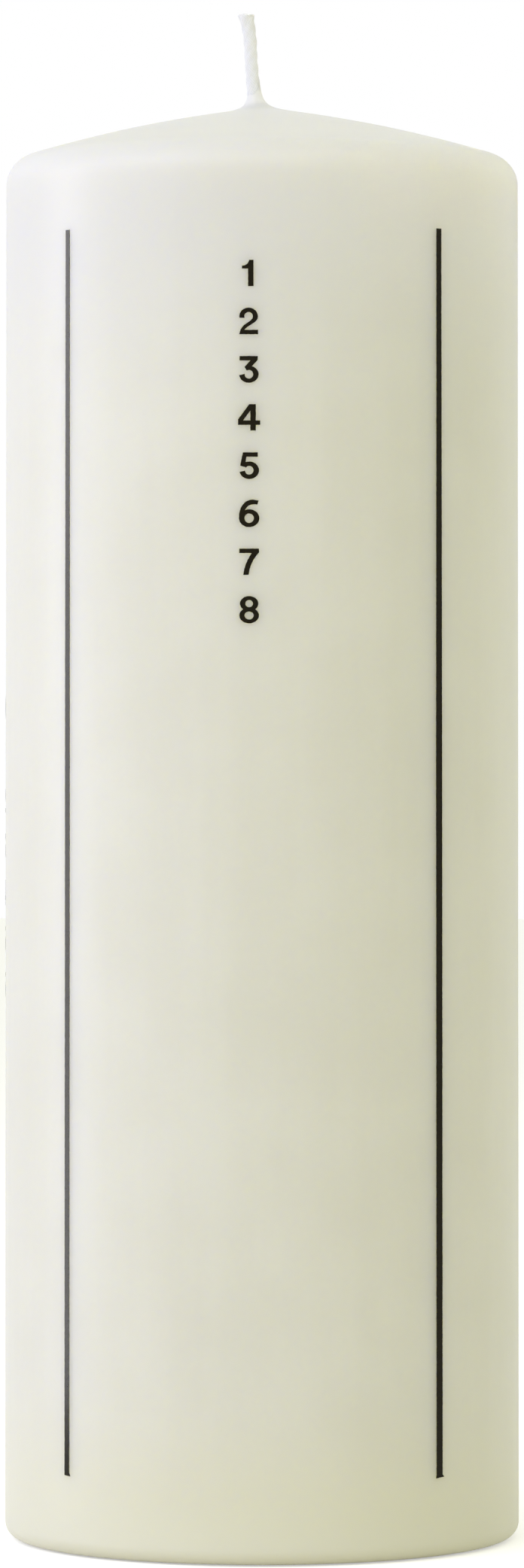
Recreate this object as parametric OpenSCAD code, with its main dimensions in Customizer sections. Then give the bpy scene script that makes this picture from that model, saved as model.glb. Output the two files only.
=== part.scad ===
// Calendar candle: a tall round candle with a low swelling crown, one wick and
// a printed day scale that the flame passes at one numeral a day.
// The scale is a staircase that winds down clockwise, seen from above: each
// panel carries on where the last one stopped, and four thin lines part the
// wall into panels.
// Lengths are in millimetres. The origin is the middle of the base, on the
// table, +Z is up, and the panel with the first numerals faces -Y.

/* [Candle] */
// Diameter at the foot
base_d = 70; // [60:1:90]
// How much narrower the candle is below its shoulder than at its foot
side_taper = 0.35; // [0:0.05:2]
// Height at which the wall and the crown would meet in a sharp edge
shoulder_h = 186.8; // [182:0.1:220]
// Rise of the crown from that height to its middle
crown_rise = 7.8; // [4:0.1:12]
// How far the crown swells above a straight cone
crown_bulge = 0.8; // [0.2:0.1:2]
// Radius of the rounded shoulder
shoulder_r = 4.15; // [2:0.05:8]
// Radius of the rounded lower edge
heel_r = 2.2; // [1.6:0.1:5]
// Thickness of the ivory wax that the core was dipped in
coat_t = 1.2; // [0.6:0.1:1.5]

/* [Wick] */
// Diameter of the braided wick
wick_d = 1.9; // [1.4:0.1:2.6]
// Distance of the wick from the middle of the candle, along X
wick_offset = -1.05; // [-3:0.05:3]
// Height of the wick's tip above the crown
wick_rise = 12.7; // [8:0.1:20]
// Radius of the curve in which the free end leans over
wick_bend_r = 44; // [25:1:120]
// Diameter of the cut end, where the braid has opened a little
wick_tip_d = 2.2; // [1.9:0.1:3]
// Length of the opened end
wick_tip_h = 1.5; // [0.5:0.1:3]

/* [Wax collar] */
// Diameter of the low mound of wax round the wick
collar_d = 9.4; // [6:0.2:14]
// Height above the crown that the wax has climbed up the wick
collar_rise = 1.9; // [0.8:0.1:4]

/* [Wick tab] */
// Diameter of the pressed metal tab that holds the wick's lower end
tab_d = 16; // [12:0.5:18]
// Thickness of the tab's sheet metal
tab_t = 0.3; // [0.2:0.05:0.5]
// Height of the tab's neck, which is crimped on the wick
neck_h = 7; // [4:0.5:12]
// Mean radius of the stiffening ring pressed into the tab
tab_ring_r = 5; // [4:0.1:6]
// Depth of that ring
tab_ring_h = 0.35; // [0.1:0.05:0.5]
// Room all round the tab in its recess in the base
recess_gap = 0.8; // [0.2:0.1:1.2]
// Depth of the recess in the base
recess_h = 1.9; // [1.6:0.1:3]

/* [Day scale] */
// Number of days on the scale
days = 24; // [8:8:24]
// Number of days on one panel
days_per_panel = 8; // [8:1:12]
// Height of the middle of the first numeral
first_day_z = 169.6; // [165:0.1:172]
// Height that burns away in one day
day_pitch = 6.31; // [5:0.01:6.4]
// Height of a numeral
numeral_h = 3.45; // [2.5:0.05:4.5]
// Width of a dividing line
line_w = 0.94; // [0.5:0.02:2]
// Height of the lower end of the dividing lines
line_bottom = 10.7; // [6:0.1:18]
// Height of the upper end of the dividing lines
line_top = 176.1; // [174:0.1:178]
// Thickness of the printed film
print_t = 0.12; // [0.08:0.01:0.3]

/* [Hidden] */
$fn = 96;
panels = 4;
panel_angle = 360 / panels;
line_angle = line_w / (base_d / 2) * 180 / PI;

core_colour = "#F6F2E4";
coat_colour = "#EAE6D2";
wick_colour = "#F4F2EC";
tab_colour = "#B8BBBE";
ink_colour = "#2A241B";

// The wall, and the arcs of the heel, the shoulder and the crown
base_r = base_d / 2;
top_r = base_r - side_taper / 2;
crown_top = shoulder_h + crown_rise;
heel_c = [base_r - heel_r, heel_r];
crown_chord = norm([top_r, crown_rise]);
crown_r = pow(crown_chord, 2) / (8 * crown_bulge) + crown_bulge / 2;
crown_normal = [crown_rise, top_r] / crown_chord;
crown_mid = [top_r / 2, shoulder_h + crown_rise / 2];
crown_c = crown_mid - (crown_r - crown_bulge) * crown_normal;
shoulder_x = top_r - shoulder_r;
shoulder_reach = sqrt(pow(crown_r - shoulder_r, 2) - pow(shoulder_x - crown_c.x, 2));
shoulder_c = [shoulder_x, crown_c.y + shoulder_reach];
shoulder_a = atan2(shoulder_reach, shoulder_x - crown_c.x);
// The crown's middle is level over this radius, under the wax collar
crown_level_r = 1.2;

// The wax collar: thickness of its lip, of its throat and of its skirt over the
// crown, and how far its edge dips under the crown's top
collar_lip = 0.12;
collar_throat = 0.3;
collar_skirt = 0.25;
collar_dip = 1.35;

// Steps along the arcs of the outline, a curve and an oval
heel_steps = 6;
shoulder_steps = 8;
crown_steps = 8;
curve_steps = 8;
oval_steps = 28;

// Heights along the wick, the bend of its free end, and the tab at its foot
tab_z = recess_h - tab_t;
collar_top = crown_top + collar_rise;
wick_r = wick_d / 2;
wick_bend_z = collar_top + 0.1;
wick_top = crown_top + wick_rise;
wick_bend_a = asin((wick_top - wick_tip_h - wick_bend_z) / wick_bend_r);
// The wax and the neck squeeze the straight part by this much all round, and
// the parts of the wick run into each other over this length
wick_squeeze = 0.02;
wick_lap = 0.3;
wick_lap_d = wick_d + 2 * wick_squeeze;
neck_r = wick_r + tab_t;
neck_root = 0.6;
recess_d = tab_d + 2 * recess_gap;
tab_ring_w = 1.2;
tab_ring_slope = 0.4;

// Strokes of the numerals, for a numeral of height 1
stem = 0.207;
bar = 0.167;
counter_r = 0.164;
digit_gap = 0.085;
digit_widths = [0.74, 0.441, 0.722, 0.753, 0.848, 0.756, 0.78, 0.753, 0.748, 0.78];
// How far each figure stands to the right of the middle of its place
digit_shifts = [0, -0.054, -0.021, -0.016, 0, 0, 0, 0, 0, 0];

function two_figures(n) = n < 10 ? str("0", n) : str(n);
function numeral_name(n) = str("numeral_", two_figures(n));
function line_name(k) = str("divider_line_", k);

// Points along an arc, both ends included
function arc(c, r, a0, a1, steps) = [
    for (i = [0 : steps])
        let (a = a0 + (a1 - a0) * i / steps)
            c + r * [cos(a), sin(a)]
];

// Points along part of an oval, both ends included
function oval_arc(c, r, a0, a1, steps) = [
    for (i = [0 : steps])
        let (a = a0 + (a1 - a0) * i / steps)
            c + [r.x * cos(a), r.y * sin(a)]
];

// Points along a curve from p0 to p3 that leaves towards p1 and arrives from p2
function curve(p0, p1, p2, p3) = [
    for (i = [0 : curve_steps])
        let (t = i / curve_steps, u = 1 - t)
            u * u * u * p0 + 3 * u * u * t * p1 + 3 * u * t * t * p2 + t * t * t * p3
];

// A list of points without its first one
function rest(points) = [for (i = [1 : len(points) - 1]) points[i]];

// Radius of the wall at a height
function wall_r(z) = base_r - (base_r - top_r) * (z - heel_r) / (shoulder_c.y - heel_r);

// Half of the candle's outline, set in from its surface by a distance
function outline(inset) =
    let (
        level_a = acos((crown_level_r - crown_c.x) / (crown_r - inset)),
        crown = arc(crown_c, crown_r - inset, shoulder_a, level_a, crown_steps)
    )
    concat(
        [[0, inset]],
        arc(heel_c, heel_r - inset, -90, 0, heel_steps),
        arc(shoulder_c, shoulder_r - inset, 0, shoulder_a, shoulder_steps),
        rest(crown),
        [[0, crown[crown_steps].y]]
    );

// Wax body whose surface lies a distance inside the candle's own
module wax_body(inset) {
    rotate_extrude()
        polygon(outline(inset));
}

module at_wick() {
    translate([wick_offset, 0, 0])
        children();
}

// Space that the wick and the tab take in the wax
module wick_way() {
    at_wick() {
        cylinder(h = wick_top, r = wick_r);
        translate([0, 0, recess_h])
            cylinder(h = neck_h, r = neck_r);
        translate([0, 0, recess_h])
            cylinder(h = neck_root, r1 = neck_r + neck_root, r2 = neck_r);
        translate([0, 0, -recess_h])
            cylinder(h = 2 * recess_h, d = recess_d);
    }
}

// Pressed core, all white wax
module wax_core() {
    color(core_colour)
        difference() {
            wax_body(coat_t);
            wick_way();
        }
}

// Mound of wax round the wick, and the wax that has climbed it
module wax_collar() {
    skirt = [
        [wick_r + collar_lip, collar_top],
        [wick_r + collar_throat, crown_top + 0.3 * collar_rise],
        [0.34 * collar_d, crown_top + collar_skirt],
        [collar_d / 2, crown_top - collar_dip]
    ];
    rotate_extrude()
        polygon(concat(
            [[0, crown_top - 2 * coat_t], [0, collar_top]],
            curve(skirt[0], skirt[1], skirt[2], skirt[3]),
            [[collar_d / 2, crown_top - 2 * coat_t]]
        ));
}

// Ivory wax all round the core, gathered in a collar round the wick
module dip_coat() {
    color(coat_colour)
        difference() {
            union() {
                wax_body(0);
                at_wick()
                    wax_collar();
            }
            wax_body(coat_t);
            wick_way();
        }
}

// Braided wick, straight through the wax, with a free end that leans over
module wick() {
    color(wick_colour)
        at_wick()
            union() {
                translate([0, 0, tab_z])
                    cylinder(h = wick_bend_z + wick_lap - tab_z, r = wick_r - wick_squeeze);
                translate([-wick_bend_r, 0, wick_bend_z])
                    rotate([90, 0, 0])
                        rotate_extrude(angle = wick_bend_a)
                            translate([wick_bend_r, 0])
                                circle(r = wick_r);
                translate([-wick_bend_r, 0, wick_bend_z])
                    rotate([0, -wick_bend_a, 0])
                        translate([wick_bend_r, 0, -wick_lap])
                            cylinder(h = wick_tip_h + wick_lap, d1 = wick_lap_d, d2 = wick_tip_d);
            }
}

// Pressed metal tab in the base, with a stiffening ring and a crimped neck
module wick_tab() {
    ring_in = tab_ring_r - tab_ring_w / 2;
    ring_out = tab_ring_r + tab_ring_w / 2;
    lower = [
        [wick_r, tab_z],
        [ring_in - tab_ring_slope, tab_z],
        [ring_in, tab_z - tab_ring_h],
        [ring_out, tab_z - tab_ring_h],
        [ring_out + tab_ring_slope, tab_z],
        [tab_d / 2, tab_z]
    ];
    upper = [
        [tab_d / 2, recess_h],
        [ring_out + tab_ring_slope, recess_h],
        [ring_out, recess_h - tab_ring_h],
        [ring_in, recess_h - tab_ring_h],
        [ring_in - tab_ring_slope, recess_h],
        [neck_r + neck_root, recess_h],
        [neck_r, recess_h + neck_root],
        [neck_r, recess_h + neck_h],
        [wick_r, recess_h + neck_h]
    ];
    color(tab_colour)
        at_wick()
            rotate_extrude()
                polygon(concat(lower, upper));
}

// Section through a film of print that lies on the wall
module film_section(z0, z1) {
    polygon([
        [wall_r(z0), z0],
        [wall_r(z0) + print_t, z0],
        [wall_r(z1) + print_t, z1],
        [wall_r(z1), z1]
    ]);
}

// Thin printed line down the wall, at the right-hand edge of panel k
module divider_line(k) {
    color(ink_colour)
        rotate([0, 0, (k - 0.5) * panel_angle - 90 - line_angle / 2])
            rotate_extrude(angle = line_angle)
                film_section(line_bottom, line_top);
}

module oval(c, r) {
    polygon([
        for (i = [0 : oval_steps - 1])
            let (a = 360 * i / oval_steps)
                c + [r.x * cos(a), r.y * sin(a)]
    ]);
}

module counter(c) {
    translate(c)
        circle(r = counter_r);
}

// The ten figures, bold and plain, each 1 high, on the baseline, from x = 0
module figure_0() {
    difference() {
        oval([0.37, 0.5], [0.37, 0.515]);
        oval([0.37, 0.5], [0.163, 0.345]);
    }
}

module figure_1() {
    flag_low = 0.667;
    stem_left = digit_widths[1] - stem;
    difference() {
        union() {
            translate([stem_left, 0])
                square([stem, 1]);
            translate([0, flag_low])
                square([stem_left + stem / 2, 1 - flag_low]);
        }
        translate([0.025, 1.03])
            circle(r = 0.25);
    }
}

module figure_2() {
    bowl = [0.361, 0.68];
    outer = [0.357, 0.331];
    polygon(concat(
        curve([0, 0], [0.08, 0.48], [0.525, 0.43], bowl + [counter_r, 0]),
        rest(arc(bowl, counter_r, 0, 200, 10)),
        oval_arc(bowl, outer, 190, 0, 14),
        rest(curve(bowl + [outer.x, 0], [0.718, 0.42], [0.33, 0.36], [0.2, bar])),
        [[0.722, bar], [0.722, 0]]
    ));
}

module figure_3() {
    bowl = [0.382, 0.307];
    difference() {
        oval(bowl, [0.371, 0.324]);
        counter(bowl);
        polygon([[-0.1, 0.25], [0.21, 0.318], [0.34, 0.39], [0.29, 0.462], [0.2155, 0.589], [-0.1, 0.7]]);
    }
    polygon([
        [0.027, 1],
        [0.027, 1 - bar],
        [0.438, 1 - bar],
        [0.2155, 0.589],
        [0.29, 0.462],
        [0.37, 0.482],
        [0.504, 0.622],
        [0.722, 0.855],
        [0.722, 1]
    ]);
}

module figure_4() {
    bar_low = 0.215;
    stem_left = 0.47;
    difference() {
        polygon([
            [0, bar_low],
            [stem_left, bar_low],
            [stem_left, 0],
            [stem_left + stem, 0],
            [stem_left + stem, bar_low],
            [digit_widths[4], bar_low],
            [digit_widths[4], bar_low + bar],
            [stem_left + stem, bar_low + bar],
            [stem_left + stem, 1],
            [0.428, 1],
            [0, 0.424]
        ]);
        polygon([[0.195, bar_low + bar], [stem_left, bar_low + bar], [stem_left, 0.76]]);
    }
}

module figure_5() {
    bowl = [0.38, 0.318];
    difference() {
        oval(bowl, [0.376, 0.333]);
        counter(bowl);
        polygon([[-0.1, 0.23], [0.21, 0.305], [0.34, 0.36], [0.22, 0.443], [0.033, 0.489], [-0.1, 0.6]]);
    }
    polygon([
        [0.14, 1],
        [0.033, 0.489],
        [0.22, 0.443],
        [0.26, 0.5],
        [0.245, 0.61],
        [0.273, 1 - bar],
        [0.707, 1 - bar],
        [0.707, 1]
    ]);
}

module figure_6() {
    bowl = [0.39, 0.327];
    outer = [0.39, 0.34];
    difference() {
        union() {
            oval(bowl, outer);
            polygon(concat(
                [[0.24, 0.45]],
                curve([0.218, 0.62], [0.33, 0.83], [0.5, 0.89], [0.696, 0.838]),
                [[0.751, 0.99]],
                curve([0.54, 1.033], [0.2, 1.033], [0, 0.75], bowl - [outer.x, 0])
            ));
        }
        translate(bowl)
            circle(r = 0.178);
    }
}

module figure_7() {
    polygon(concat(
        [[0, 1], [0.753, 1]],
        curve([0.753, 0.855], [0.6, 0.68], [0.4, 0.42], [0.36, 0]),
        curve([0.15, 0], [0.19, 0.35], [0.33, 0.62], [0.475, 1 - bar]),
        [[0, 1 - bar]]
    ));
}

module figure_8() {
    upper = [0.374, 0.74];
    lower = [0.374, 0.29];
    difference() {
        union() {
            oval(upper, [0.352, 0.285]);
            oval(lower, [0.374, 0.302]);
        }
        oval(upper, [0.146, 0.137]);
        oval(lower, [0.176, 0.152]);
    }
}

module figure_9() {
    translate([digit_widths[6], 1])
        rotate(180)
            figure_6();
}

module figure(d) {
    if (d == 0) figure_0();
    if (d == 1) figure_1();
    if (d == 2) figure_2();
    if (d == 3) figure_3();
    if (d == 4) figure_4();
    if (d == 5) figure_5();
    if (d == 6) figure_6();
    if (d == 7) figure_7();
    if (d == 8) figure_8();
    if (d == 9) figure_9();
}

// A number of one or two figures, 1 high, centred on the origin
module number_shape(n) {
    tens = floor(n / 10);
    units = n % 10;
    lead = tens > 0 ? digit_widths[tens] + digit_gap : 0;
    translate([digit_shifts[units] - (lead + digit_widths[units]) / 2, -0.5]) {
        if (tens > 0) figure(tens);
        translate([lead, 0])
            figure(units);
    }
}

// Printed numeral of day n, bent round the wall at its own height and panel
module numeral(n) {
    panel = floor((n - 1) / days_per_panel);
    z = first_day_z - (n - 1) * day_pitch;
    color(ink_colour)
        rotate([0, 0, -panel * panel_angle])
            intersection() {
                rotate_extrude()
                    film_section(z - numeral_h, z + numeral_h);
                translate([0, -base_r / 2, z])
                    rotate([90, 0, 0])
                        linear_extrude(height = base_r)
                            scale(numeral_h)
                                number_shape(n);
            }
}

wax_core();
dip_coat();
wick();
wick_tab();
for (k = [1 : panels]) {
    divider_line(k);
}
for (n = [1 : days]) {
    numeral(n);
}
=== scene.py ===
"""Looks of the calendar candle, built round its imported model.

Everything is in metres in the candle's own frame: the origin is the middle of
the base, +Z is up, and the panel with the first numerals faces -Y.
"""

import math
import random

import bmesh
import bpy
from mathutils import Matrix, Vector, noise


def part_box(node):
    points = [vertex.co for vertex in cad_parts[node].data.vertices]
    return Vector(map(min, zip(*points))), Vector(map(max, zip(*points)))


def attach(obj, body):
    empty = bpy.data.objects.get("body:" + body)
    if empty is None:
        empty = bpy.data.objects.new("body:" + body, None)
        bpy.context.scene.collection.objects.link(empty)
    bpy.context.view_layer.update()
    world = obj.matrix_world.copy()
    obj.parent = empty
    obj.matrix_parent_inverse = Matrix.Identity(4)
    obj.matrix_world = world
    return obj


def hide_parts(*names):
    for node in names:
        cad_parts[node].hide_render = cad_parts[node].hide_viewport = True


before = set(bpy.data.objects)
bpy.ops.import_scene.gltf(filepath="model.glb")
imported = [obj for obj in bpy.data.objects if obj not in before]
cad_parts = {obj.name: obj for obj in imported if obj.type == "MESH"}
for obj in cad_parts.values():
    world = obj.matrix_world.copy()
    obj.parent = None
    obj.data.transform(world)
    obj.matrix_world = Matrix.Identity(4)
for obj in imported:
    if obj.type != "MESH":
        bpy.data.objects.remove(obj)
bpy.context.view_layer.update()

# The print's ragged edges take their offsets from this seed, so they come out the same each run
noise.seed_set(11)

MM = 0.001
UP = Vector((0, 0, 1))

# The camera, with the photograph's height and horizon in its own pixels
PHOTO_HEIGHT = 2084
PHOTO_HORIZON = 975.2
CAMERA_DISTANCE = 0.9
CAMERA_TURN = 2.77
EYE_HEIGHT = 0.1092
SENSOR_WIDTH = 36.0
LENS = 151.56

# The wax body, as the model has it
BASE_R = 35.0 * MM
TOP_R = 34.825 * MM
HEEL_R = 2.2 * MM
SHOULDER_Z = 186.8 * MM
SHOULDER_R = 4.15 * MM
CROWN_RISE = 7.8 * MM
CROWN_BULGE = 0.8 * MM
COAT_T = 1.2 * MM
RECESS_R = 8.8 * MM
RECESS_H = 1.9 * MM

# Arcs of the crown and the shoulder, worked out from those sizes
CROWN_CHORD = Vector((TOP_R, CROWN_RISE))
CROWN_R = CROWN_CHORD.length_squared / (8 * CROWN_BULGE) + CROWN_BULGE / 2
CROWN_NORMAL = Vector((CROWN_RISE, TOP_R)).normalized()
CROWN_MID = Vector((TOP_R / 2, SHOULDER_Z + CROWN_RISE / 2))
CROWN_C = CROWN_MID - (CROWN_R - CROWN_BULGE) * CROWN_NORMAL
SHOULDER_X = TOP_R - SHOULDER_R
SHOULDER_REACH = math.sqrt((CROWN_R - SHOULDER_R) ** 2 - (SHOULDER_X - CROWN_C.x) ** 2)
SHOULDER_C = Vector((SHOULDER_X, CROWN_C.y + SHOULDER_REACH))
SHOULDER_A = math.atan2(SHOULDER_REACH, SHOULDER_X - CROWN_C.x)

# The skin of the coat: its gap to the core, the rounded lip of the recess, how far the plain
# base goes round it, how softly the crown's middle is rounded, and the wick's bore
SKIN_GAP = 0.02 * MM
LIP_R = 0.3 * MM
PLAIN_BASE_R = RECESS_R + 1 * MM
CROWN_SOFT_R = 1.2 * MM
BORE_R = 0.88 * MM
BORE_FOOT = RECESS_H + 2 * MM
MOUTH_DEPTH = 1.5 * MM
SEGMENTS = 192

# The wick, and the wax that has gathered round it
WICK_R = 0.95 * MM
WICK_X = -1.05 * MM
WICK_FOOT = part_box("wick")[0].z
COLLAR_R = 5.0 * MM
NECK_R = 1.6 * MM
MOUND_RISE = 0.5 * MM
MOUND_R = 2.8 * MM
MENISCUS_RISE = 2.7 * MM
MENISCUS_REACH = 0.42 * MM
FILM_R = 0.74 * MM

# How much larger that wax is on one side, towards an angle in radians, and how lumpy it is
COLLAR_LEAN = 0.12
COLLAR_LEAN_AT = 0.4
COLLAR_LUMPS = 0.1
COLLAR_SEED = 4.2

# Waves of the dipped surface: each has its size across, the squeeze that draws it out up the
# wall, its share of the depth, and its shift in the noise
WAVE_DEPTH = 0.05 * MM
WAVES = (
    (11 * MM, 0.35, 0.38, (0, 0, 0)),
    (3.5 * MM, 0.6, 0.12, (7, 3, 5)),
)


# Small tools


def smooth(x):
    """0 below 0, 1 above 1, and an even slope between."""
    x = min(max(x, 0.0), 1.0)
    return x * x * (3 - 2 * x)


def mix(a, b, share):
    return a + (b - a) * share


def steps(start, end, count):
    """Values from start to end in a number of equal steps, both ends included."""
    return [mix(start, end, i / count) for i in range(count + 1)]


def turns(count):
    """Angles in equal steps once round a circle."""
    return [2 * math.pi * i / count for i in range(count)]


def belt(lower, upper, count):
    """Faces between two rings of vertices, given the number of each ring's first vertex."""
    pairs = [(i, (i + 1) % count) for i in range(count)]
    return [(lower + i, lower + j, upper + j, upper + i) for i, j in pairs]


def new_mesh(name, vertices, faces):
    mesh = bpy.data.meshes.new(name)
    mesh.from_pydata(vertices, [], faces)
    mesh.update()
    return mesh


def shade_smooth(mesh, crease_degrees):
    """Smooth shading, with edges sharper than the crease kept crisp."""
    mesh.polygons.foreach_set("use_smooth", [True] * len(mesh.polygons))
    mesh.set_sharp_from_angle(angle=math.radians(crease_degrees))


def dress(mesh, finish):
    """Gives a mesh one finish and no other."""
    mesh.materials.clear()
    mesh.materials.append(finish)


def place_object(name, data):
    """Puts a mesh, a lamp or a camera in the scene."""
    placed = bpy.data.objects.new(name, data)
    bpy.context.scene.collection.objects.link(placed)
    return placed


def new_piece(name, mesh, body, nodes, finish):
    """Puts a mesh in the scene as a piece of the candle that stands for some of the model's nodes."""
    dress(mesh, finish)
    piece = place_object(name, mesh)
    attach(piece, body)
    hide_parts(*nodes)


# Form of the wax


def dip_wave(x, y, z):
    """How far the dipped wax lies inside its true form at a point."""
    depth = 0.5
    for size, squeeze, share, shift in WAVES:
        depth += share * noise.noise(Vector((x, y, squeeze * z)) / size + Vector(shift))
    return WAVE_DEPTH * depth


def wall_r(z):
    """Radius of the true wall at a height."""
    return mix(BASE_R, TOP_R, (z - HEEL_R) / (SHOULDER_C.y - HEEL_R))


def print_r(angle, z):
    """Radius of the uneven wall at an angle and a height."""
    r = wall_r(z)
    return r - dip_wave(r * math.cos(angle), r * math.sin(angle), z)


def crown_z(x, y):
    """Height of the crown at a place, with the mound round the wick and the wax that climbed it."""
    soft_r = math.sqrt(x * x + y * y + CROWN_SOFT_R ** 2)
    z = CROWN_C.y + math.sqrt(CROWN_R ** 2 - (soft_r - CROWN_C.x) ** 2)
    dx = x - WICK_X
    d = math.hypot(dx, y)
    angle = math.atan2(y, dx)
    lumps = noise.noise(Vector((math.cos(angle), math.sin(angle), COLLAR_SEED)))
    uneven = 1 + COLLAR_LEAN * math.cos(angle - COLLAR_LEAN_AT) + COLLAR_LUMPS * lumps
    mound = MOUND_RISE * math.exp(-(d / (MOUND_R * uneven)) ** 2)
    meniscus = MENISCUS_RISE * uneven * math.exp(-max(d - FILM_R, 0) / (MENISCUS_REACH * uneven))
    return z + mound + meniscus


# Shader tools


class Field:
    """An output socket that can be used in plain arithmetic."""

    def __init__(self, nodes, socket):
        self.nodes = nodes
        self.socket = socket

    def _math(self, operation, first, second):
        return self.nodes.add("ShaderNodeMath", {"operation": operation}, {0: first, 1: second})

    def __add__(self, other):
        return self._math("ADD", self, other)

    __radd__ = __add__

    def __sub__(self, other):
        return self._math("SUBTRACT", self, other)

    def __rsub__(self, other):
        return self._math("SUBTRACT", other, self)

    def __mul__(self, other):
        return self._math("MULTIPLY", self, other)

    __rmul__ = __mul__

    def sine(self):
        return self.nodes.add("ShaderNodeMath", {"operation": "SINE"}, {0: self})

    def at_most(self, other):
        return self._math("MINIMUM", self, other)

    def step(self, low, high):
        """0 below low, 1 above high, and a smooth rise between."""
        inputs = {"Value": self, "From Min": low, "From Max": high}
        return self.nodes.add("ShaderNodeMapRange", {"interpolation_type": "SMOOTHSTEP"}, inputs)


class Nodes:
    """A node tree that is written from an empty start."""

    def __init__(self, tree):
        self.tree = tree
        tree.nodes.clear()

    def add(self, kind, settings, inputs, output=0):
        """Adds any node: its type, its settings, and the values or links of its sockets.
        It gives back one of the node's outputs, or nothing where there are none."""
        node = self.tree.nodes.new(kind)
        for name, value in settings.items():
            setattr(node, name, value)
        for name, value in inputs.items():
            socket = node.inputs[name]
            if isinstance(value, Field):
                self.tree.links.new(value.socket, socket)
            elif isinstance(value, tuple) and socket.type == "RGBA":
                socket.default_value = (*value, 1)
            else:
                socket.default_value = value
        return Field(self, node.outputs[output]) if len(node.outputs) else None

    def vector(self, operation, *values, output=0):
        """Arithmetic on whole vectors."""
        return self.add("ShaderNodeVectorMath", {"operation": operation}, dict(enumerate(values)), output)

    def coordinate(self, vector, axis):
        return self.add("ShaderNodeSeparateXYZ", {}, {"Vector": vector}, axis)

    def place_mm(self, stretch=(1, 1, 1)):
        """The point on the piece in millimetres, stretched along the axes."""
        place = self.add("ShaderNodeTexCoord", {}, {}, "Object")
        return self.vector("MULTIPLY", place, tuple(s / MM for s in stretch))

    def noise(self, place, size, detail=2.0, roughness=0.5):
        """Soft noise from 0 to 1, whose lumps are about a size across in the place's units."""
        inputs = {"Vector": place, "Scale": 1 / size, "Detail": detail, "Roughness": roughness}
        return self.add("ShaderNodeTexNoise", {}, inputs, "Fac")

    def cells(self, place, size, output="Distance"):
        """Cells about a size across: the distance from each one's middle, or a colour for each."""
        return self.add("ShaderNodeTexVoronoi", {}, {"Vector": place, "Scale": 1 / size}, output)

    def blend(self, share, first, second):
        """A colour that goes from the first to the second: a Mix node's colours are its sockets 6 and 7."""
        return self.add("ShaderNodeMix", {"data_type": "RGBA"}, {0: share, 6: first, 7: second}, 2)

    def bump(self, height, depth, normal=None):
        """A relief whose height runs from 0 to 1 over a depth in metres, on top of another one if given."""
        inputs = {"Height": height, "Distance": depth, "Strength": 1.0}
        if normal is not None:
            inputs["Normal"] = normal
        return self.add("ShaderNodeBump", {}, inputs)


def new_finish(name):
    """An empty material and its nodes."""
    material = bpy.data.materials.new(name)
    material.use_nodes = True
    return material, Nodes(material.node_tree)


def surface(nodes, inputs):
    """The main shader, joined to the material's output."""
    shader = nodes.add("ShaderNodeBsdfPrincipled", {}, inputs)
    nodes.add("ShaderNodeOutputMaterial", {}, {"Surface": shader})


# Finishes

# The sizes of noise and cells, and the heights and distances over which a tint changes, are in millimetres
WAX_IOR = 1.44

# The two tints that cloud the wall; the foot's yellower tint, which is painted warm light from below;
# the shoulder's greyer, darker tint, which is painted shade; the crown's brighter, warmer tint, which
# is painted light; and the tint of the film on the wick
WAX_SHADE = (0.745, 0.738, 0.670)
WAX_TINT = (0.775, 0.770, 0.710)
WAX_FOOT_PAINTED_WARM_LIGHT = (0.765, 0.757, 0.635)
WAX_SHOULDER_PAINTED_SHADE = (0.738, 0.735, 0.730)
WAX_CROWN_PAINTED_LIGHT = (0.812, 0.807, 0.745)
WAX_ON_COTTON = (0.800, 0.797, 0.785)

# Heights between which the foot's painted warm light ends and the shoulder's painted shade and the
# crown's painted light begin, and how much of the painted shade the shoulder takes
PAINTED_FOOT_LIGHT_FADE = (2.0, 25.0)
PAINTED_SHOULDER_SHADE_FADE = (146.0, 187.0)
PAINTED_SHOULDER_SHADE_SHARE = 0.85
PAINTED_CROWN_LIGHT_FADE = (185.8, 189.6)

# The wick's root in the crown, the distances from it over which the film's tint ends and light
# begins to go deep, and the heights over which it begins to go deep above the table
WICK_ROOT = (WICK_X / MM, 0, 195.5)
FILM_FADE = (1.0, 3.2)
DEEP_FROM_ROOT = (1.2, 4.0)
DEEP_ABOVE_TABLE = (-4.0, 10.0)

CORE_GRANULE = (0.86, 0.85, 0.80)
CORE_SEAM = (0.74, 0.72, 0.65)
GRANULE_SIZE = 1.3

# Cotton in the grooves between plies, darker as painted shade, and on the raised plies
COTTON_GROOVE_PAINTED_SHADE = (0.755, 0.758, 0.772)
COTTON_RAISED = (0.815, 0.817, 0.828)
FIBRE_STRETCH = (11.0, 0.9, 1.0)
PLIES = 4
PLY_TWIST = 1.5

TIN_BRIGHT = (0.66, 0.67, 0.68)
TIN_DULL = (0.52, 0.52, 0.51)

INK_DARK = (0.0060, 0.0040, 0.0012)
INK_LIGHT = (0.0095, 0.0068, 0.0028)


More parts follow.
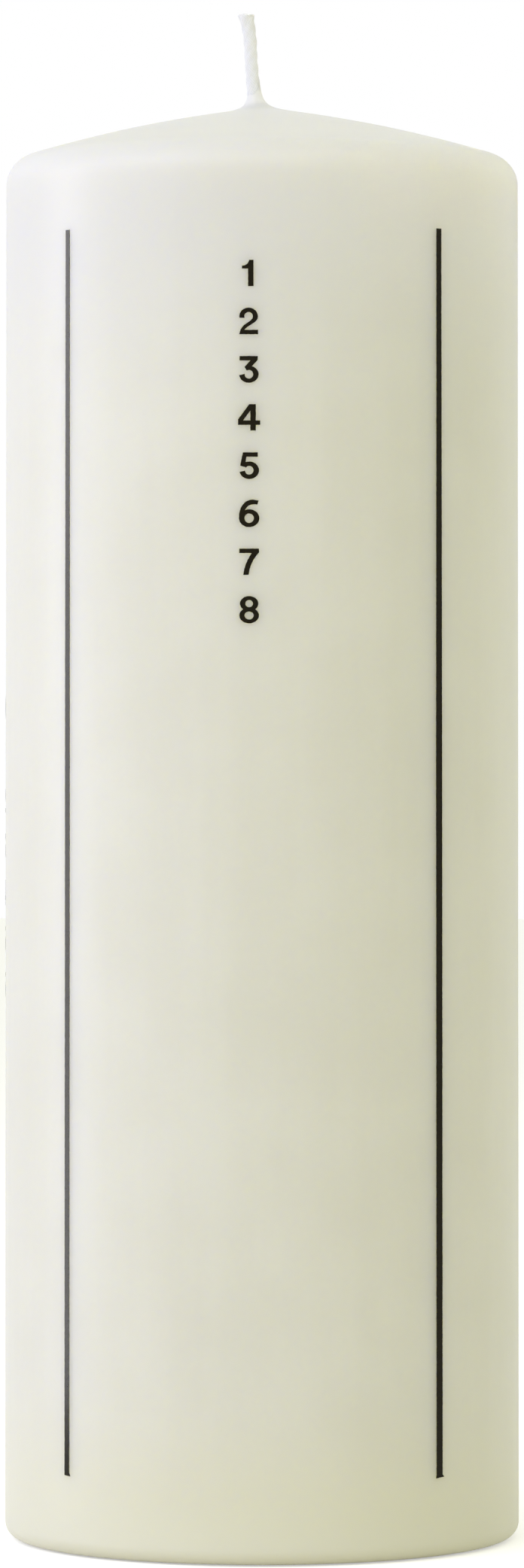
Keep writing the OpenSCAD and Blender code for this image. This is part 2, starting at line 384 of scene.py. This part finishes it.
def ivory_wax():
    """Satin dipped wax: almost plain, a little cloudy, with faint runs down the wall and a fine grain.
    Its colour changes a little from the foot to the crown: painted warm light on the foot, painted shade
    on the shoulder and painted light on the crown. Light goes deep into the body, but not into the
    thin wax that has climbed the wick or next to the table."""
    finish, nodes = new_finish("ivory_wax")
    place = nodes.place_mm()
    runs = nodes.noise(nodes.place_mm((1, 1, 0.06)), size=4.0)
    clouds = nodes.noise(place, size=14.0, detail=3.0)
    specks = nodes.noise(place, size=0.9, detail=3.0)
    tint = (0.55 * clouds + 0.3 * runs + 0.15 * specks).step(0.3, 0.7)
    height = nodes.coordinate(place, "Z")
    colour = nodes.blend(tint, WAX_SHADE, WAX_TINT)
    # Painted light and shade by height: a yellower foot as warm light from below, a greyer, darker shoulder as
    # shade, and a brighter crown as light
    colour = nodes.blend(height.step(*PAINTED_FOOT_LIGHT_FADE), WAX_FOOT_PAINTED_WARM_LIGHT, colour)
    colour = nodes.blend(PAINTED_SHOULDER_SHADE_SHARE * height.step(*PAINTED_SHOULDER_SHADE_FADE), colour, WAX_SHOULDER_PAINTED_SHADE)
    colour = nodes.blend(height.step(*PAINTED_CROWN_LIGHT_FADE), colour, WAX_CROWN_PAINTED_LIGHT)
    grain = nodes.noise(place, size=0.22, detail=3.0)
    dimples = nodes.noise(place, size=2.2)
    touched = nodes.noise(place, size=9.0).step(0.5, 0.75)
    from_root = nodes.vector("SUBTRACT", place, WICK_ROOT)
    reach = nodes.vector("LENGTH", from_root, output="Value")
    look = {
        "Base Color": nodes.blend(reach.step(*FILM_FADE), WAX_ON_COTTON, colour),
        "Roughness": 0.38 + 0.06 * clouds + 0.05 * grain + 0.06 * touched,
        "IOR": WAX_IOR,
        "Sheen Weight": 0.1,
        "Sheen Roughness": 0.5,
        "Subsurface Weight": 1.0,
        "Normal": nodes.bump(grain, 0.006 * MM, nodes.bump(dimples, 0.02 * MM)),
    }
    kind = "ShaderNodeBsdfPrincipled"
    deep = nodes.add(kind, {}, {**look, "Subsurface Radius": (1.0, 0.92, 0.5), "Subsurface Scale": 8 * MM})
    thin = nodes.add(kind, {}, {**look, "Subsurface Weight": 0.0})
    depth = reach.step(*DEEP_FROM_ROOT) * height.step(*DEEP_ABOVE_TABLE)
    body = nodes.add("ShaderNodeMixShader", {}, {"Fac": depth, 1: thin, 2: deep})
    nodes.add("ShaderNodeOutputMaterial", {}, {"Surface": body})
    return finish


def pressed_wax():
    """White wax pressed from granules, which still show as soft cells."""
    finish, nodes = new_finish("pressed_white_wax")
    place = nodes.place_mm()
    granules = nodes.cells(place, GRANULE_SIZE)
    shade = nodes.cells(place, GRANULE_SIZE, "Color")
    tone = nodes.add("ShaderNodeSeparateColor", {}, {"Color": shade})
    seams = granules.step(0.35, 0.8)
    colour = nodes.blend((0.35 * tone + 0.65 * seams).step(0, 1), CORE_GRANULE, CORE_SEAM)
    grain = nodes.noise(place, size=0.25, detail=3.0)
    surface(nodes, {
        "Base Color": colour,
        "Roughness": 0.55 + 0.15 * grain,
        "IOR": WAX_IOR,
        "Subsurface Weight": 0.6,
        "Subsurface Radius": (1.0, 0.9, 0.6),
        "Subsurface Scale": 2.5 * MM,
        "Normal": nodes.bump(grain, 0.02 * MM, nodes.bump(1 - seams, 0.08 * MM)),
    })
    return finish


def waxed_cotton():
    """White cotton yarn, stiff with wax, with its plies and fibres running along each strand, and painted
    shade in the grooves between its plies.
    """
    finish, nodes = new_finish("waxed_cotton")
    strand = nodes.add("ShaderNodeUVMap", {"uv_map": "strand"}, {})
    fibres = nodes.noise(nodes.vector("MULTIPLY", strand, FIBRE_STRETCH), size=1.0, detail=3.0, roughness=0.6)
    across = nodes.coordinate(strand, "X")
    along = nodes.coordinate(strand, "Y")
    plies = 0.5 + 0.5 * (across * (2 * math.pi * PLIES) + along * PLY_TWIST).sine()
    relief = 0.6 * plies + 0.4 * fibres
    soak = nodes.noise(nodes.place_mm(), size=1.6)
    # Darker where the relief is low: painted shade in the grooves between plies, with some random tone from
    # the fibres
    colour = nodes.blend(relief.step(0.2, 0.75), COTTON_GROOVE_PAINTED_SHADE, COTTON_RAISED)
    surface(nodes, {
        "Base Color": colour,
        "Roughness": 0.5 + 0.3 * soak,
        "IOR": WAX_IOR,
        "Subsurface Weight": 1.0,
        "Subsurface Radius": (1.0, 0.95, 0.9),
        "Subsurface Scale": 0.35 * MM,
        "Normal": nodes.bump(relief, 0.03 * MM),
    })
    return finish


def tinned_steel():
    """Thin tinned sheet with fine rolling lines, and dull patches where wax has touched it."""
    finish, nodes = new_finish("tinned_steel")
    place = nodes.place_mm()
    rolled = nodes.noise(nodes.place_mm((0.05, 2.0, 1.0)), size=0.3, detail=3.0)
    patches = nodes.noise(place, size=3.0, detail=3.0).step(0.45, 0.65)
    colour = nodes.blend(patches, TIN_BRIGHT, TIN_DULL)
    surface(nodes, {
        "Base Color": colour,
        "Metallic": 1.0,
        "Roughness": 0.24 + 0.12 * rolled + 0.2 * patches,
        "Normal": nodes.bump(rolled, 0.008 * MM),
    })
    return finish


def print_ink():
    """Dark brown ink with a satin skin, a little uneven in gloss and depth."""
    finish, nodes = new_finish("dark_brown_ink")
    place = nodes.place_mm()
    mottle = nodes.noise(place, size=0.5, detail=3.0)
    grain = nodes.noise(place, size=0.12)
    colour = nodes.blend(mottle.step(0.3, 0.7), INK_DARK, INK_LIGHT)
    surface(nodes, {
        "Base Color": colour,
        "Roughness": 0.15 + 0.07 * mottle,
        "Specular IOR Level": 0.12,
        "Specular Tint": (1.0, 0.97, 0.76),
        "Normal": nodes.bump(grain, 0.004 * MM),
    })
    return finish


# The wax body


def body_rings():
    """Rings of the body's skin, from the foot of the wick's bore outwards and round to its mouth.
    Each is (x of its centre, radius, height, or None on the crown)."""
    recess_side = RECESS_R + SKIN_GAP
    ceiling = RECESS_H + SKIN_GAP
    rings = [(WICK_X, r, ceiling) for r in (WICK_R, 3 * MM, 6 * MM, recess_side)]
    rings += [(WICK_X, recess_side, COAT_T + SKIN_GAP), (WICK_X, RECESS_R, COAT_T)]
    for degrees in steps(0, 90, count=4):
        a = math.radians(degrees)
        rings.append((WICK_X, RECESS_R + LIP_R * (1 - math.cos(a)), LIP_R * (1 - math.sin(a))))
    flat_end = BASE_R - HEEL_R
    for share in steps(0, 1, count=10)[1:-1]:
        rings.append((WICK_X * (1 - share), mix(RECESS_R + LIP_R, flat_end, share), 0.0))
    for degrees in steps(-90, 0, count=10):
        a = math.radians(degrees)
        rings.append((0.0, flat_end + HEEL_R * math.cos(a), HEEL_R * (1 + math.sin(a))))
    for z in steps(HEEL_R, SHOULDER_C.y, count=120)[1:-1]:
        rings.append((0.0, wall_r(z), z))
    for a in steps(0, SHOULDER_A, count=14):
        rings.append((0.0, SHOULDER_C.x + SHOULDER_R * math.cos(a), SHOULDER_C.y + SHOULDER_R * math.sin(a)))
    crown_edge = rings[-1][1]
    for r in steps(crown_edge, COLLAR_R, count=26)[1:]:
        rings.append((0.0, r, None))
    for r in steps(COLLAR_R, NECK_R, count=14)[1:] + steps(NECK_R, FILM_R, count=16)[1:]:
        rings.append((WICK_X * smooth((COLLAR_R - r) / (COLLAR_R - NECK_R)), r, None))
    mouth = crown_z(WICK_X + WICK_R, 0) - MOUTH_DEPTH
    rings += [(WICK_X, BORE_R, z) for z in steps(mouth, BORE_FOOT, count=8)]
    return rings


def body_vertex(ring, angle):
    """A point of a ring of the skin, sunk by the waves of the dipped wax except round the recess."""
    centre, r, z = ring
    x = centre + r * math.cos(angle)
    y = r * math.sin(angle)
    if z is None:
        z = crown_z(x, y)
        z -= dip_wave(x, y, z) * smooth((r - WICK_R) / (COLLAR_R - WICK_R))
        return (x, y, z)
    if r < PLAIN_BASE_R:
        return (x, y, z)
    inset = dip_wave(x, y, z) * smooth(z / HEEL_R)
    return (x * (1 - inset / r), y * (1 - inset / r), z)


def wax_body(finish):
    """One closed skin for the dipped coat: base, heel, wall, crown, collar and the wick's bore."""
    rings = body_rings()
    vertices = [body_vertex(ring, angle) for ring in rings for angle in turns(SEGMENTS)]
    faces = []
    for k in range(len(rings)):
        after = (k + 1) % len(rings)
        faces += belt(k * SEGMENTS, after * SEGMENTS, SEGMENTS)
    mesh = new_mesh("dipped_wax", vertices, faces)
    work = bmesh.new()
    work.from_mesh(mesh)
    bmesh.ops.recalc_face_normals(work, faces=work.faces)
    work.to_mesh(mesh)
    work.free()
    shade_smooth(mesh, crease_degrees=50)
    new_piece("dipped_wax", mesh, "root", ["dip_coat"], finish)


# The braided wick

# Points along the free end, from inside the collar to the tip: (x, z) in millimetres
WICK_ROUTE = [
    (-1.05, 190.0),
    (-1.02, 193.5),
    (-1.0, 195.2),
    (-1.24, 198.0),
    (-1.47, 201.0),
    (-1.69, 204.4),
    (-2.2, 207.18),
]

# Sides of the wick's rings, the radius of its plain stalk in the wax, and its gap below the braid
WICK_SIDES = 112
STALK_R = 0.86 * MM
STALK_GAP = 0.2 * MM

# The braid: strands that wind each way, the length of one turn, the radius of its heart, and how
# thick and how domed a strand is, how far it lifts over another, how soft the seam between is,
# and the size and the depth of the yarn's lumps
STRANDS = 4
LEAD = 7.2 * MM
BRAID_R = 0.785 * MM
STRAND_T = 0.11 * MM
STRAND_DOME = 0.9
STRAND_LIFT = 0.055 * MM
SEAM_SOFTNESS = 0.03 * MM
BRAID_LUMP = 0.7 * MM
BRAID_LUMP_DEPTH = 0.02 * MM

# Where the braid is a little narrower, along its free end
WAIST_AT = 11.5 * MM
WAIST_LENGTH = 3.2 * MM
WAIST_SHARE = 0.09

# The cut end: the length that has opened and how far, and the rise and the lumps of its face
TIP_OPENING = 1.7 * MM
TIP_WIDENING = 0.13
STRAND_OPENING = 0.5
CUT_SHARES = (0.97, 0.88, 0.74, 0.58, 0.42, 0.26, 0.12, 0.03)
CUT_DOME = 0.1 * MM
CUT_LUMP = 0.28 * MM
CUT_LUMP_DEPTH = 0.09 * MM
CUT_SEED = 3.0

# Loose fibres of the cut end: their number, their sides and steps, and how deep they are rooted
FIBRES = 40
FIBRE_SIDES = 5
FIBRE_STEPS = 6
FIBRE_ROOT = 0.1 * MM


def route_point(share):
    """Point of the wick's centreline at a share of its free length, on a smooth curve through its points."""
    last = len(WICK_ROUTE) - 1
    place = min(max(share, 0.0), 1.0) * last
    i = min(int(place), last - 1)
    t = place - i
    near = [WICK_ROUTE[min(max(i + k, 0), last)] for k in (-1, 0, 1, 2)]
    weights = (
        0.5 * (-t + 2 * t * t - t ** 3),
        0.5 * (2 - 5 * t * t + 3 * t ** 3),
        0.5 * (t + 4 * t * t - 3 * t ** 3),
        0.5 * (t ** 3 - t * t),
    )
    x = sum(w * p[0] for w, p in zip(weights, near)) * MM
    z = sum(w * p[1] for w, p in zip(weights, near)) * MM
    return Vector((x, 0, z))


class Centreline:
    """The wick's centreline, walked by its length."""

    def __init__(self, count=400):
        self.points = [route_point(share) for share in steps(0, 1, count)]
        self.lengths = [0.0]
        for a, b in zip(self.points, self.points[1:]):
            self.lengths.append(self.lengths[-1] + (b - a).length)
        self.length = self.lengths[-1]

    def at(self, s):
        """The point at a length, and the two directions across the wick there."""
        low, high = 0, len(self.lengths) - 1
        while high - low > 1:
            middle = (low + high) // 2
            if self.lengths[middle] <= s:
                low = middle
            else:
                high = middle
        a, b = self.points[low], self.points[high]
        t = (s - self.lengths[low]) / (self.lengths[high] - self.lengths[low])
        along = (b - a).normalized()
        side = Vector((along.z, 0, -along.x))
        return a + (b - a) * t, side, Vector((0, 1, 0))


def strand_place(family, angle, s):
    """Place across the strands of one family: a whole number at each strand's edge."""
    return STRANDS * (angle / (2 * math.pi) - family * s / LEAD)


def braid_relief(angle, s):
    """Height of the braid over its heart at an angle and a length, and the family of strands on top there."""
    right = strand_place(1, angle, s)
    left = strand_place(-1, angle, s)
    heights = []
    for own, other, sign in ((right, left, 1), (left, right, -1)):
        across = 2 * (own - math.floor(own)) - 1
        dome = math.sqrt(1 - STRAND_DOME * across * across)
        over = sign * (-1) ** math.floor(own) * math.sin(math.pi * other)
        heights.append(STRAND_T * dome + STRAND_LIFT * over)
    family = 1 if heights[0] > heights[1] else -1
    gap = abs(heights[0] - heights[1])
    return max(heights) + SEAM_SOFTNESS * math.exp(-gap / SEAM_SOFTNESS) / 2, family


def wick_ring(line, s, opening):
    """One ring of the braid's surface: it widens where the end has opened, and turns level towards the cut."""
    centre, side, depth = line.at(s)
    waist = 1 - WAIST_SHARE * math.exp(-((s - WAIST_AT) / WAIST_LENGTH) ** 2)
    heart = BRAID_R * (1 + TIP_WIDENING * opening) * waist
    ring = []
    for angle in turns(WICK_SIDES):
        height, _ = braid_relief(angle, s)
        lumps = noise.noise(Vector((2 * math.cos(angle), 2 * math.sin(angle), s / BRAID_LUMP)))
        r = heart + height * (1 + STRAND_OPENING * opening) + BRAID_LUMP_DEPTH * lumps
        point = centre + (side * math.cos(angle) + depth * math.sin(angle)) * r
        point.z = mix(point.z, centre.z, opening)
        ring.append(point)
    return ring


def cut_end(line, last_ring):
    """Rings that close the cut end: a shallow, uneven face where the strands' ends stand up a little."""
    centre = line.at(line.length)[0]
    rings = []
    for share in CUT_SHARES:
        ring = []
        for edge in last_ring:
            flat = centre + (edge - centre) * share
            lumps = noise.noise((flat - centre) / CUT_LUMP + Vector((CUT_SEED, 0, 0)))
            rise = CUT_DOME * math.sqrt(1 - share ** 2) + CUT_LUMP_DEPTH * lumps * (1 - share ** 6)
            ring.append(flat + UP * rise)
        rings.append(ring)
    return rings


def fibre(vertices, faces, uvs, line, draw):
    """One loose fibre that leaves the cut end of the wick."""
    centre = line.at(line.length - FIBRE_ROOT)[0]
    angle = draw.uniform(0, 2 * math.pi)
    out = Vector((math.cos(angle), math.sin(angle), 0))
    across = UP.cross(out)
    r = math.sqrt(draw.uniform(0.05, 1)) * 0.95 * MM
    reach = draw.uniform(0.15, 0.42) * MM
    lean = draw.uniform(0.1, 0.9) * reach
    sway = draw.uniform(-0.5, 0.5) * reach
    thick = draw.uniform(0.012, 0.022) * MM
    start = len(vertices)
    for t in steps(0, 1, FIBRE_STEPS):
        middle = centre + out * (r + lean * t * t) + UP * reach * t * (1 - 0.25 * t) + across * sway * t * t
        for a in turns(FIBRE_SIDES):
            vertices.append(middle + (out * math.cos(a) + across * math.sin(a)) * thick * (1 - 0.5 * t))
    for k in range(FIBRE_STEPS):
        lower = start + k * FIBRE_SIDES
        faces += belt(lower, lower + FIBRE_SIDES, FIBRE_SIDES)
    faces.append(tuple(start + i for i in reversed(range(FIBRE_SIDES))))
    faces.append(tuple(start + FIBRE_STEPS * FIBRE_SIDES + i for i in range(FIBRE_SIDES)))
    uvs += [(0.0, 0.0)] * (4 * FIBRE_STEPS * FIBRE_SIDES + 2 * FIBRE_SIDES)


def braided_wick(finish):
    """The wick as one closed surface: plain inside the wax, then eight waxed strands, over and under."""
    draw = random.Random(11)
    line = Centreline()
    braid_foot = WICK_ROUTE[0][1] * MM
    rings, lengths = [], []
    for z in steps(WICK_FOOT, braid_foot - STALK_GAP, count=30):
        ring = []
        for angle in turns(WICK_SIDES):
            ring.append(Vector((WICK_X + STALK_R * math.cos(angle), STALK_R * math.sin(angle), z)))
        rings.append(ring)
        lengths.append(z - braid_foot)
    for s in steps(0, line.length, count=330):
        opening = smooth((s - (line.length - TIP_OPENING)) / TIP_OPENING)
        rings.append(wick_ring(line, s, opening))
        lengths.append(s)
    end_rings = cut_end(line, rings[-1])
    rings += end_rings
    lengths += [line.length] * len(end_rings)
    vertices = [point for ring in rings for point in ring]
    faces, uvs = [], []
    for k in range(len(rings) - 1):
        faces += belt(k * WICK_SIDES, (k + 1) * WICK_SIDES, WICK_SIDES)
        spans = (lengths[k], lengths[k], lengths[k + 1], lengths[k + 1])
        for i in range(WICK_SIDES):
            angles = [2 * math.pi * n / WICK_SIDES for n in (i, i + 1, i + 1, i)]
            _, family = braid_relief((angles[0] + angles[1]) / 2, (spans[0] + spans[2]) / 2)
            uvs += [(strand_place(family, t, s), s / MM) for t, s in zip(angles, spans)]
    faces.append(tuple(reversed(range(WICK_SIDES))))
    uvs += [(0.0, 0.0)] * WICK_SIDES
    last = (len(rings) - 1) * WICK_SIDES
    faces.append(tuple(last + i for i in range(WICK_SIDES)))
    uvs += [(0.5, 0.0)] * WICK_SIDES
    for _ in range(FIBRES):
        fibre(vertices, faces, uvs, line, draw)
    mesh = new_mesh("braided_wick", vertices, faces)
    layer = mesh.uv_layers.new(name="strand")
    layer.data.foreach_set("uv", [value for uv in uvs for value in uv])
    shade_smooth(mesh, crease_degrees=60)
    new_piece("braided_wick", mesh, "root", ["wick"], finish)


# The print

# How far the film stands out of the wall and reaches into it, and past which distance from the
# true wall a point of the model's film is on its outer face
INK_RISE = 0.035 * MM
INK_SINK = 0.03 * MM
OUTER_FACE = 0.05 * MM

# The ragged edges: the size of their cells, and how far the broad and the fine ones push, in
# millimetres. The fine cells are smaller by a scale, and each piece of print starts a step further on
NUMERAL_CELL = 0.3 * MM
NUMERAL_RAG = 0.022
LINE_CELL = 0.35 * MM
LINE_RAG = 0.024
FINE_RAG = 0.012
FINE_SCALE = 2.7
SEED_STEP = 9
FIRST_LINE_SEED = 40

# How close vertices of the model's film are merged, and the longest edge in a printed numeral
MERGE_DISTANCE = 0.0005 * MM
LONGEST_EDGE = 0.16 * MM

# Each printed line in millimetres: its width at the top and from half way down, how far its foot
# spreads to the left and to the right, and how much higher the right end of the foot is
LINE_FORMS = {
    "divider_line_1": (0.88, 1.08, 0.10, 0.30, 0.14),
    "divider_line_2": (0.86, 0.98, 0.16, 0.12, -0.06),
    "divider_line_3": (0.90, 1.02, 0.06, 0.22, 0.10),
    "divider_line_4": (0.80, 0.91, 0.02, 0.26, -0.10),
}

# Strips across a printed line, and how far up it the spread of its foot reaches
LINE_COLUMNS = 4
LINE_FOOT = 0.16 * MM


def ragged(noise_kind, across, z, seed, cell_size, push):
    """How far the print's edge strays at a place, from a kind of noise in broad and in fine cells."""
    cell = Vector((across, z, seed * SEED_STEP * MM)) / cell_size
    return noise_kind(cell) * push * MM + noise_kind(cell * FINE_SCALE) * FINE_RAG * MM


def follow_wall(mesh, seed):
    """Lays a film of print on the uneven wall, thinner than in the model and with slightly ragged edges."""
    for vertex in mesh.vertices:
        x, y, z = vertex.co
        angle = math.atan2(y, x)
        outer = math.hypot(x, y) > wall_r(z) + OUTER_FACE
        stray = ragged(noise.noise_vector, angle * BASE_R, z, seed, NUMERAL_CELL, NUMERAL_RAG)
        angle += stray.x / BASE_R
        z += stray.y
        r = print_r(angle, z) + (INK_RISE if outer else -INK_SINK)
        vertex.co = (r * math.cos(angle), r * math.sin(angle), z)


def halve(edge):
    """Cuts an edge in its middle, and each triangle beside it from there to its far corner."""
    _, middle = bmesh.utils.edge_split(edge, edge.verts[0], 0.5)
    for face in list(middle.link_faces):
        corners = list(face.verts)
        far = corners[(corners.index(middle) + 2) % 4]
        bmesh.utils.face_split(face, middle, far)


def subdivided(source, longest):
    """A copy of a model node's mesh, in closed triangles, with no edge longer than a length."""
    work = bmesh.new()
    work.from_mesh(source)
    bmesh.ops.remove_doubles(work, verts=work.verts, dist=MERGE_DISTANCE)
    bmesh.ops.triangulate(work, faces=work.faces)
    while True:
        too_long = [(edge.calc_length(), edge) for edge in work.edges if edge.calc_length() > longest]
        if not too_long:
            break
        for _, edge in sorted(too_long, key=lambda entry: -entry[0]):
            halve(edge)
    mesh = bpy.data.meshes.new(source.name + "_print")
    work.to_mesh(mesh)
    work.free()
    return mesh


def printed_numeral(name, seed, finish):
    """A numeral of the day scale, as the model has it but laid on the uneven wall."""
    mesh = subdivided(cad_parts[name].data, LONGEST_EDGE)
    follow_wall(mesh, seed)
    shade_smooth(mesh, crease_degrees=40)
    new_piece("printed_" + name, mesh, "root", [name], finish)


def printed_line(name, seed, finish):
    """A thin line down the wall, with a small foot where the print ended."""
    low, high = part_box(name)
    angle = math.atan2(low.y + high.y, low.x + high.x)
    top_w, low_w, spread_left, spread_right, slant = (v * MM for v in LINE_FORMS[name])
    rows = steps(low.z, high.z, count=420)
    vertices, faces = [], []
    for z in rows:
        share = math.exp(-((z - low.z) / LINE_FOOT) ** 2)
        half = mix(low_w, top_w, smooth(2 * (z - low.z) / (high.z - low.z) - 1)) / 2
        for rise in (INK_RISE, -INK_SINK):
            for c in range(LINE_COLUMNS + 1):
                across = 2 * c / LINE_COLUMNS - 1
                edge = half + (spread_left if across < 0 else spread_right) * share
                u = across * edge
                here = z + slant / 2 * across * share
                if abs(across) == 1:
                    u += ragged(noise.noise, u, here, seed, LINE_CELL, LINE_RAG)
                a = angle + u / BASE_R
                r = print_r(a, here) + rise
                vertices.append((r * math.cos(a), r * math.sin(a), here))
    width = LINE_COLUMNS + 1
    for k in range(len(rows) - 1):
        top = k * 2 * width
        above = top + 2 * width
        for c in range(LINE_COLUMNS):
            faces.append((top + c, top + c + 1, above + c + 1, above + c))
            faces.append((top + width + c, above + width + c, above + width + c + 1, top + width + c + 1))
        faces.append((top, above, above + width, top + width))
        end = top + LINE_COLUMNS
        above_end = above + LINE_COLUMNS
        faces.append((end, end + width, above_end + width, above_end))
    for k, flip in ((0, False), (len(rows) - 1, True)):
        top = k * 2 * width
        for c in range(LINE_COLUMNS):
            face = (top + c, top + width + c, top + width + c + 1, top + c + 1)
            faces.append(face[::-1] if flip else face)
    mesh = new_mesh(name, vertices, faces)
    shade_smooth(mesh, crease_degrees=40)
    new_piece("printed_" + name, mesh, "root", [name], finish)


# Floor, light and camera

WHITE = (1.0, 1.0, 1.0)
BLACK = (0.0, 0.0, 0.0)

# Half the floor's side and its gap below the candle, its two greys, how strongly its white shows
# to the camera, and the colours of the light that the floor and the world throw on the candle
FLOOR_HALF = 3.0
FLOOR_DROP = 0.15 * MM
FLOOR_GREYS = ((0.80, 0.80, 0.80), (0.82, 0.82, 0.82))
FLOOR_LIFT = 0.45
FLOOR_BOUNCE = (0.86, 0.83, 0.67)
WORLD_LIGHT = (0.55, 0.556, 0.452)

# Lamps that show in gloss, such as that of the print, and add no other light
GLOSS_ONLY = {"strip_left"}

# Soft boxes: degrees round from the front towards the right, degrees above level, then distance,
# width and length in metres, watts and colour. The last two values, where given, are the height
# on the axis that the box looks at, in metres, and the degrees that its grid lets through
SOFT_BOXES = {
    "key_left": (-94, 18, 1.0, 0.3, 0.5, 1.6, (0.77, 0.77, 1.0)),
    "strip_left": (-86.2, 1.9, 0.185, 0.022, 0.208, 0.17, (0.86, 0.86, 1.0)),
    "rim_left": (-135, 15, 1.0, 0.5, 0.8, 0.6, (0.74, 0.75, 1.0)),
    "fill_front_left": (-48, 30, 1.1, 0.8, 0.8, 5.32, (0.652, 0.661, 1.0)),
    "front": (5, 33, 1.3, 0.8, 0.8, 2.7, (0.98, 0.98, 0.84)),
    "rim_right": (135, 15, 1.0, 0.5, 0.8, 0.62, (1.0, 1.0, 0.89)),
    "high_right": (75, 40, 0.45, 0.3, 0.3, 0.09, (1.0, 1.0, 0.90)),
    "shoulder_right": (60, -3, 0.5, 0.06, 0.03, 0.0015, (1.0, 1.0, 0.93), 0.202, 9),
}


def shown_only_to_eyes(nodes):
    """1 for camera, glossy and transmission rays, and 0 for light that falls on the object."""
    names = ("Is Camera Ray", "Is Glossy Ray", "Is Transmission Ray")
    camera, gloss, through = [nodes.add("ShaderNodeLightPath", {}, {}, name) for name in names]
    return (camera + gloss + through).at_most(1.0)


def white_floor():
    """A pale floor that looks white and keeps the candle's shadow."""
    finish, nodes = new_finish("white_floor")
    speckle = nodes.noise(nodes.place_mm(), size=40.0)
    seen = shown_only_to_eyes(nodes)
    colour = nodes.blend(speckle, *FLOOR_GREYS)
    surface(nodes, {
        "Base Color": nodes.blend(seen, FLOOR_BOUNCE, colour),
        "Roughness": 0.9,
        "Emission Color": nodes.blend(seen, BLACK, WHITE),
        "Emission Strength": FLOOR_LIFT,
    })
    sides = ((-1, -1), (1, -1), (1, 1), (-1, 1))
    corners = [(x * FLOOR_HALF, y * FLOOR_HALF, -FLOOR_DROP) for x, y in sides]
    mesh = new_mesh("floor", corners, [(0, 1, 2, 3)])
    dress(mesh, finish)
    place_object("floor", mesh)


def studio_world():
    """White to the eye, and a plain level of light on the candle."""
    world = bpy.data.worlds.new("white_studio")
    world.use_nodes = True
    bpy.context.scene.world = world
    nodes = Nodes(world.node_tree)
    seen = shown_only_to_eyes(nodes)
    colour = nodes.blend(seen, WORLD_LIGHT, WHITE)
    background = nodes.add("ShaderNodeBackground", {}, {"Color": colour, "Strength": 1.0})
    nodes.add("ShaderNodeOutputWorld", {}, {"Surface": background})


def soft_box(name, azimuth, elevation, distance, width, length, watts, colour, aim=0.1, spread=180):
    """A soft light that looks at a height on the candle's axis, through a grid where it spreads less."""
    turn = math.radians(azimuth)
    lift = math.radians(elevation)
    away = Vector((math.sin(turn) * math.cos(lift), -math.cos(turn) * math.cos(lift), math.sin(lift)))
    lamp = bpy.data.lights.new(name, "AREA")
    lamp.shape = "RECTANGLE"
    lamp.size = width
    lamp.size_y = length
    lamp.energy = watts
    lamp.color = colour
    lamp.spread = math.radians(spread)
    box = place_object(name, lamp)
    box.location = Vector((0, 0, aim)) + away * distance
    box.rotation_euler = away.to_track_quat("Z", "Y").to_euler()
    if name in GLOSS_ONLY:
        box.visible_diffuse = False
        box.visible_camera = False


def photo_camera():
    """The camera where the photograph's perspective puts it: level, 0.9 m away, a little to the right."""
    turn = math.radians(CAMERA_TURN)
    data = bpy.data.cameras.new("photo_camera")
    data.sensor_width = SENSOR_WIDTH
    data.lens = LENS
    data.shift_y = (PHOTO_HORIZON - PHOTO_HEIGHT / 2) / PHOTO_HEIGHT
    data.clip_start = 0.05
    data.clip_end = 20.0
    camera = place_object("photo_camera", data)
    camera.location = (CAMERA_DISTANCE * math.sin(turn), -CAMERA_DISTANCE * math.cos(turn), EYE_HEIGHT)
    camera.rotation_euler = (math.radians(90), 0, turn)
    bpy.context.scene.camera = camera


def main():
    bpy.context.scene.view_settings.view_transform = "Standard"
    photo_camera()
    studio_world()
    white_floor()
    for name, values in SOFT_BOXES.items():
        soft_box(name, *values)
    ink = print_ink()
    wax_body(ivory_wax())
    braided_wick(waxed_cotton())
    for node, finish in (("wax_core", pressed_wax()), ("wick_tab", tinned_steel())):
        dress(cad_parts[node].data, finish)
    for name in sorted(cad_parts):
        if name.startswith("numeral_"):
            printed_numeral(name, int(name[-2:]), ink)
        if name.startswith("divider_line_"):
            printed_line(name, FIRST_LINE_SEED + int(name[-1]), ink)


main()
